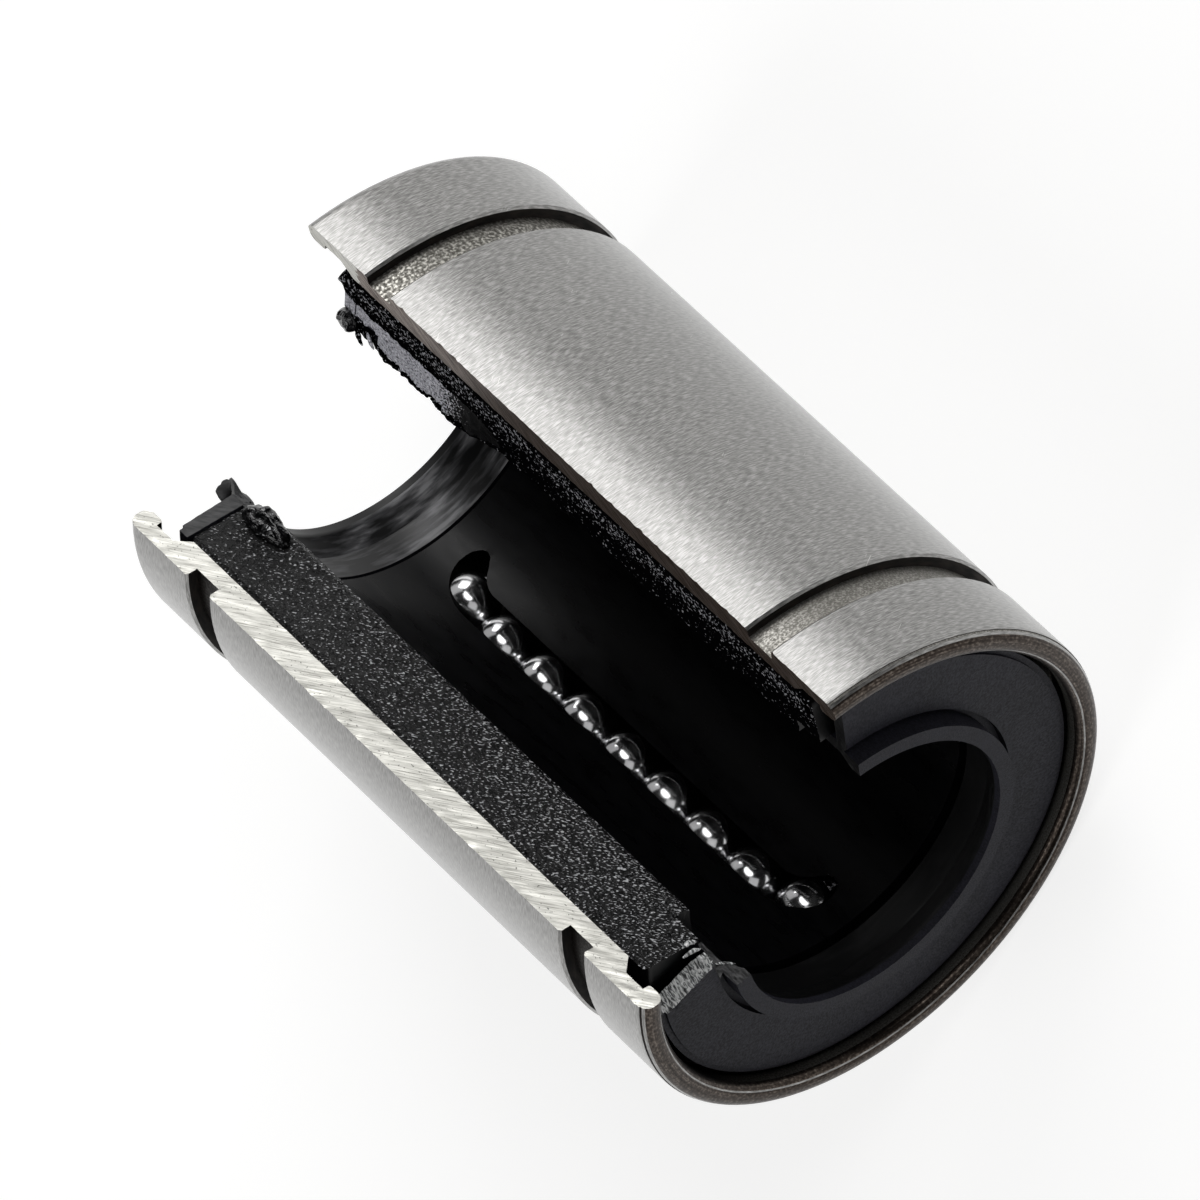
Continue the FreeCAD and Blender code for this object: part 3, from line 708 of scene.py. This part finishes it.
seal = {
    "collar": 1.2, "collarOuter": 6.8, "bore": 6.2, "plate": 0.55, "plateRadius": 9.35, "pairShift": 0.02,
    "rimRadius": 9.12, "rimDepth": 0.1, "rearDish": 0.14,
    "lipReach": 0.6, "lipLand": 0.4, "lipInner": 5.8, "lipOuter": 6.45,
    "grooveOuter": 6.75, "grooveDepth": 0.4,
    "step": 0.12, "capRows": 24, "columns": 130, "tear": 0.012, "tearSize": (0.5, 0.15),
    "setback": 4, "shearAngle": 41, "shearSlope": 24, "shearBevel": 39, "collarEnd": 306,
    "ripple": 0.035, "ripplePitch": 0.24, "rippleWander": 0.5,
    "sag": 0.24, "spikeRise": 0.34, "stepFrom": 6.34, "stepTo": 6.2, "stepDepth": 0.7, "stepSlope": 1.75,
    "tornDepth": 0.6, "tornCorner": (0.55, 8.6, 0.65), "tornFade": 1.3,
    "bulge": 0.15, "bulgeRadius": 8.5, "bulgeWidth": 0.3,
    "setbackSeed": 51, "rippleSeed": 61, "tornSeed": 71, "drawnSeed": 81,
    # clean is the darker copy of the wiped rubber, painted as shade on the front seal's bore and first ends
    # and the rear lip
    "frontLooks": {"plate": "rubber", "bore": "clean", "firstOuter": "clean", "firstInner": "clean",
                   "lastOuter": "shearedHighlit", "lastInner": "sliced", "lip": "rubber"},
    "rearLooks": {"plate": "rubber", "bore": "wiped", "firstOuter": "grainy", "firstInner": "paintedSheen",
                  "lastOuter": "sliced", "lastInner": "sliced", "lip": "clean"},
}


# Pairs of outer and inner points from the collar's end to the lip's face; the bore narrows to the lip
def sealStations(s, base, direction, dish):
    back, shift = s["collar"], s["pairShift"]
    face = back + s["plate"]
    lip = face + s["lipReach"]
    floor = face - s["grooveDepth"]
    slope = (s["bore"] - s["lipInner"]) / (lip - s["lipLand"] - back)
    low = face - s["rimDepth"]
    rows = [(0, s["collarOuter"], 0), (back, s["collarOuter"], back), (back, s["plateRadius"], back + shift),
            (low, s["plateRadius"], back + 2 * shift), (low, s["rimRadius"], back + 3 * shift),
            (face, s["rimRadius"], back + 4 * shift), (face, s["grooveOuter"], back + 5 * shift),
            (floor, s["grooveOuter"], back + 6 * shift), (floor, s["lipOuter"], floor + shift),
            (lip - s["lipLand"], s["lipOuter"], lip - s["lipLand"]), (lip, s["lipOuter"], lip)]
    pairs = [(x, r, i, max(s["lipInner"], s["bore"] - slope * max(0, i - back))) for x, r, i in rows]
    stations = divideStations(pairs, s["step"])
    # the plate leans out towards its bore by the dish, and its back stays flat
    for x, r in ((0, 1), (2, 3)):
        lean = dish * (s["plateRadius"] - stations[:, r]) / (s["plateRadius"] - s["lipInner"])
        lean = lean * np.clip((stations[:, x] - back) / s["plate"], 0, 1)
        stations[:, x] = base + direction * (stations[:, x] + lean)
    return stations


def makeSeal(name, node, stations, startAngle, endAngle, looks, s):
    columns = np.linspace(0, 1, s["columns"])
    points, quads, kinds = ringSector(stations, columns, startAngle, endAngle, s["capRows"])
    x = np.abs(points[:, 0])[quads]
    r = np.hypot(points[:, 1], points[:, 2])[quads].mean(1)
    isLip = x.mean(1) > x.max() - s["lipReach"] / 2
    isWiped = (r < s["bore"] + s["pairShift"]) & ~isLip
    isOuter = r > np.where(kinds == 1, cage["lipFoot"], s["collarOuter"])
    isOuter = isOuter | (kinds == 1) & (r < s["collarOuter"])
    piece = dressPiece(name, points, quads, looks, [
        ((kinds == 1) & isOuter, "firstOuter"), (kinds == 1, "firstInner"),
        ((kinds == 2) & isOuter, "lastOuter"), (kinds == 2, "lastInner"), (isWiped, "bore"), (isLip, "lip"),
    ])
    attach(piece, "sleeve")
    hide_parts(node)


# The front seal's last end lies in a plane, where normal . (x, r sin a, r cos a) = reach, and the
# shear left ripples of the given pitch along it
def shearedEnd(s, plateBack):
    slope, bevel, start = (math.radians(s[k]) for k in ("shearSlope", "shearBevel", "shearAngle"))
    normal = np.array([math.sin(bevel), math.cos(bevel) * math.sin(slope), math.cos(bevel) * math.cos(slope)])
    corner = np.array([plateBack, -math.sin(start) * s["collarOuter"], math.cos(start) * s["collarOuter"]])
    reach = normal @ corner

    def endAngle(x, r):
        size = math.hypot(normal[1], normal[2])
        aim = math.atan2(normal[1], normal[2])
        swing = np.arccos(np.clip((reach - normal[0] * x) / (r * size), -1, 1))
        flat = 360 + np.degrees(aim - swing)
        isCollar = r < s["collarOuter"] - s["pairShift"]
        square = np.where(isCollar, s["collarEnd"], 360 - cutAngle - s["setback"])
        wander = s["rippleWander"] * grain(flatPlaces(x, r), s["ripplePitch"], s["rippleSeed"])
        phase = r / s["ripplePitch"] + wander
        return np.minimum(flat, square) - np.degrees(s["ripple"] * np.sin(2 * math.pi * phase) / r)
    return endAngle


def makeSeals(s):
    plateBack = frontHigh.x / mm - s["plate"] - s["lipReach"]
    lipFace = rearLow.x / mm

    def torn(x, r, seed):
        return wheelRelief(x, r, s["tear"], s["tearSize"], seed)

    # at the rear the rubber drew back from the last cut: it sags towards the bore, the lip's outer
    # corner stands up, and the inside of the lip steps down and slopes away
    def drawnBack(x, r):
        inwards = smoothStep(-r, -s["grooveOuter"], -s["lipOuter"])
        spike = s["spikeRise"] * smoothStep(-x, -lipFace - s["lipReach"], -lipFace)
        step = s["stepDepth"] * smoothStep(-r, -s["stepFrom"], -s["stepTo"])
        slope = s["stepSlope"] * np.maximum(s["stepTo"] - r, 0)
        depth = (s["sag"] - spike) * inwards + step + slope + torn(x, r, s["drawnSeed"])
        return 360 - cutAngle - np.degrees(depth / r)

    # at the first cut the rubber follows the cage's lip, bulges, and has lost its outer corner
    def tornCorner(x, r):
        wide, low, high = s["tornCorner"]
        bulge = s["bulge"] * np.exp(-((r - s["bulgeRadius"]) / s["bulgeWidth"]) ** 2)
        behind = rearHigh.x / mm - s["collar"] - x
        lip = smoothStep(-r, -s["grooveOuter"], -s["lipOuter"])
        lip = lip * smoothStep(behind, s["plate"], s["lipReach"])
        corner = smoothStep(behind / wide + (r - low) / high, 1, s["tornFade"])
        depth = s["tornDepth"] * np.maximum(corner, lip) - bulge - lipRise(cage, x, r)
        return cutAngle + np.degrees((depth + torn(x, r, s["tornSeed"])) / r)

    makeSeal("front_seal_ring", "front_seal", sealStations(s, plateBack - s["collar"], 1, 0),
             lambda x, r: cutAngle + s["setback"] + np.degrees(torn(x, r, s["setbackSeed"]) / r),
             shearedEnd(s, plateBack), s["frontLooks"], s)
    makeSeal("rear_seal_ring", "rear_seal", sealStations(s, rearHigh.x / mm, -1, s["rearDish"]),
             tornCorner, drawnBack, s["rearLooks"], s)


makeSeals(seal)


# Scraps that the wheel left on the cuts. Places are (along the shaft, out from it, off the cut),
# side is 1 on the first cut and -1 on the last, half gives half the width and thickness, and a path
# has a root, a bend and a tip.
burrs = {
    "rear_lump": {
        "side": 1, "finish": "melted", "half": (0.48, 0.4), "wrinkle": 0.35, "cell": 0.35, "seed": 101,
        "path": ((-13.6, 6.65, 0.1), (-13.25, 6.3, 0.4), (-12.75, 6.5, 0.25))},
    "rear_smear": {
        "side": 1, "finish": "grainy", "half": (0.24, 0.06), "wrinkle": 0.4, "cell": 0.25, "seed": 111,
        "path": ((-12.9, 9.2, -0.02), (-12.9, 8.3, 0.06), (-12.9, 7.4, 0.04))},
    "rear_hook": {
        "side": 1, "finish": "grainy", "half": (0.14, 0.08), "wrinkle": 0.4, "cell": 0.2, "seed": 102,
        "path": ((-12.85, 6.5, 0.25), (-12.5, 6.15, 0.55), (-12.15, 6.15, 0.6))},
    "rear_sliver": {
        "side": 1, "finish": "paintedSheen", "half": (0.15, 0.06), "wrinkle": 0.25, "cell": 0.2, "seed": 103,
        "path": ((-12.35, 6.55, 0.18), (-12.0, 6.25, 0.38), (-11.7, 6.15, 0.42))},
    "rear_shred": {
        "side": 1, "finish": "grainy", "half": (0.16, 0.1), "wrinkle": 0.6, "cell": 0.22, "seed": 104,
        "path": ((-12.1, 6.4, 0.2), (-11.2, 6.12, 0.4), (-10.2, 6.22, 0.36))},
    "middle_shred": {
        "side": 1, "finish": "grainy", "half": (0.09, 0.08), "wrinkle": 0.6, "cell": 0.2, "seed": 109,
        "path": ((-10.3, 6.25, 0.3), (-9.4, 6.16, 0.4), (-8.6, 6.2, 0.36))},
    "front_shred": {
        "side": 1, "finish": "grainy", "half": (0.09, 0.08), "wrinkle": 0.6, "cell": 0.2, "seed": 110,
        "path": ((-8.5, 6.25, 0.34), (-7.6, 6.17, 0.44), (-6.6, 6.2, 0.36))},
    "rear_blob": {
        "side": -1, "finish": "melted", "half": (0.55, 0.5), "wrinkle": 0.28, "cell": 0.5, "seed": 105,
        "path": ((-12.6, 7.05, 0.02), (-11.7, 6.65, 0.45), (-10.3, 6.85, 0.02))},
    "rear_flap": {
        "side": -1, "finish": "sliced", "half": (0.28, 0.09), "wrinkle": 0.2, "cell": 0.2, "seed": 113,
        "path": ((-13.76, 6.89, -0.45), (-14.09, 6.9, -0.13), (-14.06, 6.54, 0.21))},
    "front_curl": {
        "side": -1, "finish": "shearedHighlit", "half": (0.11, 0.08), "wrinkle": 0.3, "cell": 0.15, "seed": 106,
        "path": ((13.5, 7.6, 0.0), (13.55, 7.35, 0.3), (13.6, 7.0, 0.05))},
    "front_ridge": {
        "side": -1, "finish": "shearedHighlit", "half": (0.08, 0.08), "wrinkle": 0.3, "cell": 0.15, "seed": 107,
        "path": ((13.85, 7.85, 0.0), (13.9, 7.5, 0.2), (13.95, 7.1, 0.05))},
    "front_tear": {
        "side": -1, "finish": "shearedHighlit", "half": (0.07, 0.05), "wrinkle": 0.3, "cell": 0.15, "seed": 112,
        "path": ((13.7, 6.25, -1.62), (13.9, 5.9, -1.6), (14.08, 5.6, -1.72))},
    "front_crumb": {
        "side": 1, "finish": "grainy", "half": (0.16, 0.1), "wrinkle": 0.5, "cell": 0.2, "seed": 108,
        "path": ((12.8, 8.75, 0.0), (13.2, 8.5, 0.12), (13.5, 8.2, 0.02))},
}
burrGrid = {"rings": 41, "points": 32, "endSize": 0.06, "sharpAngle": 60,
            "fineShare": 0.6, "finer": 2.2, "fineSeed": 50}


# Rings carried along a quadratic curve from root over bend to tip. Ring radius follows sin(pi t),
# with t eased towards both ends, a random field makes the skin uneven, and small end rings are capped.
def makeBurr(name, b):
    u = np.linspace(0, 1, burrGrid["rings"])[:, None]
    t = (1 - np.cos(math.pi * u)) / 2
    root, bend, tip = (np.array(p) for p in b["path"])
    path = (1 - t) ** 2 * root + 2 * t * (1 - t) * bend + t ** 2 * tip
    ahead = (1 - t) * (bend - root) + t * (tip - bend)
    ahead /= np.linalg.norm(ahead, axis=1, keepdims=True)
    thick = np.cross(np.cross(ahead, (0, 0, 1)), ahead)
    thick /= np.linalg.norm(thick, axis=1, keepdims=True)
    wide = np.cross(thick, ahead)
    turn = np.linspace(0, 2 * math.pi, burrGrid["points"], endpoint=False)[None, :, None]
    size = np.maximum(np.sin(math.pi * u), burrGrid["endSize"])[:, None]
    ring = b["half"][0] * np.cos(turn) * wide[:, None] + b["half"][1] * np.sin(turn) * thick[:, None]
    points = path[:, None] + size * ring
    fine = grain(points, b["cell"] / burrGrid["finer"], b["seed"] + burrGrid["fineSeed"])
    skin = grain(points, b["cell"], b["seed"]) + burrGrid["fineShare"] * fine
    points = path[:, None] + size * ring * (1 + b["wrinkle"] * skin)[..., None]
    number = np.arange(u.size * turn.size).reshape(u.size, turn.size)
    faces = [gridQuads(np.hstack([number, number[:, :1]])), number[:1], number[-1:, ::-1]]
    points = points.reshape(-1, 3) @ cutAxes(b["side"])
    piece = makePiece(name, points, faces, [finishes[b["finish"]]], sharpAngle=burrGrid["sharpAngle"])
    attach(piece, "sleeve")


for name, burr in burrs.items():
    makeBurr(name, burr)

for name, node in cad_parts.items():
    if name.endswith("_balls"):
        for holder in node.material_slots:
            holder.material = finishes["ball"]


# Stage, camera and light

studio = {
    "azimuth": 30.738, "elevation": 52.666, "roll": -83.754, "distance": 522.38, "lens": 434.7, "sensor": 36,
    "aimRight": -0.4163, "aimDown": -0.9796, "floorSize": 3000, "floorGlow": 0.75, "world": 0.01,
}
lamps = {
    "key_softbox": {"from": (-0.52, 0.727, 0.46), "distance": 330, "size": (240, 110), "radiance": 5.0},
    "rear_softbox": {"from": (-0.76, 0.3, 0.58), "distance": 400, "size": (300, 260), "radiance": 0.45},
    "low_softbox": {"from": (-0.53, 0.83, 0.21), "distance": 420, "size": (420, 90), "radiance": 1.4},
    "top_softbox": {"from": (0.08, 0.6, 0.79), "distance": 480, "size": (340, 230), "radiance": 2.0,
                    "shape": "ELLIPSE"},
    "side_softbox": {"from": (0.1, -0.7, 0.7), "distance": 500, "size": (340, 340), "radiance": 2.2},
    "left_softbox": {"from": (-0.1, -0.95, 0.25), "distance": 500, "size": (700, 200), "radiance": 0.9},
    "front_softbox": {"from": (0.68, 0.24, 0.66), "distance": 450, "size": (260, 260), "radiance": 0.6},
}


def makeStage(s):
    reach = s["floorSize"]
    corners = np.array([[-reach, -reach], [reach, -reach], [reach, reach], [-reach, reach]])
    points = np.hstack([corners, np.full((4, 1), sleeveLow.z / mm)])
    makePiece("floor", points, [np.array([[0, 1, 2, 3]])], [paleBoard(s["floorGlow"])])
    world = bpy.data.worlds.new("studio")
    world.use_nodes = True
    sky = next(n for n in world.node_tree.nodes if n.type == "BACKGROUND")
    sky.inputs["Color"].default_value = linear("#ffffff")
    sky.inputs["Strength"].default_value = s["world"]
    bpy.context.scene.world = world


# An object's turn and place from its three axes and a point in mm
def putInScene(thing, right, up, back, point):
    turn = Matrix(np.column_stack([right, up, back]).tolist()).to_4x4()
    thing.matrix_world = Matrix.Translation(np.asarray(point) * mm) @ turn
    bpy.context.scene.collection.objects.link(thing)


def makeLamp(name, lamp):
    aim = np.array(lamp["from"]) / np.linalg.norm(lamp["from"])
    data = bpy.data.lights.new(name, "AREA")
    data.shape = lamp.get("shape", "RECTANGLE")
    data.size, data.size_y = (v * mm for v in lamp["size"])
    data.energy = lamp["radiance"] * math.pi * data.size * data.size_y
    side = np.cross((0, 0, 1), aim)
    side /= np.linalg.norm(side)
    putInScene(bpy.data.objects.new(name, data), side, np.cross(aim, side), aim, aim * lamp["distance"])


# The camera looks back along (azimuth, elevation), rolled about that line and aimed beside the origin
def makeCamera(s):
    azimuth, elevation, roll = (math.radians(s[k]) for k in ("azimuth", "elevation", "roll"))
    back = np.array([math.cos(elevation) * math.cos(azimuth), math.cos(elevation) * math.sin(azimuth),
                     math.sin(elevation)])
    level = np.array([-math.sin(azimuth), math.cos(azimuth), 0])
    steep = np.cross(back, level)
    right = math.cos(roll) * level + math.sin(roll) * steep
    up = np.cross(back, right)
    data = bpy.data.cameras.new("camera")
    data.sensor_width = s["sensor"]
    data.lens = s["lens"]
    camera = bpy.data.objects.new("camera", data)
    putInScene(camera, right, up, back, s["distance"] * back + s["aimRight"] * right - s["aimDown"] * up)
    bpy.context.scene.camera = camera


makeStage(studio)
for name, lamp in lamps.items():
    makeLamp(name, lamp)
makeCamera(studio)
bpy.context.scene.view_settings.view_transform = "Standard"
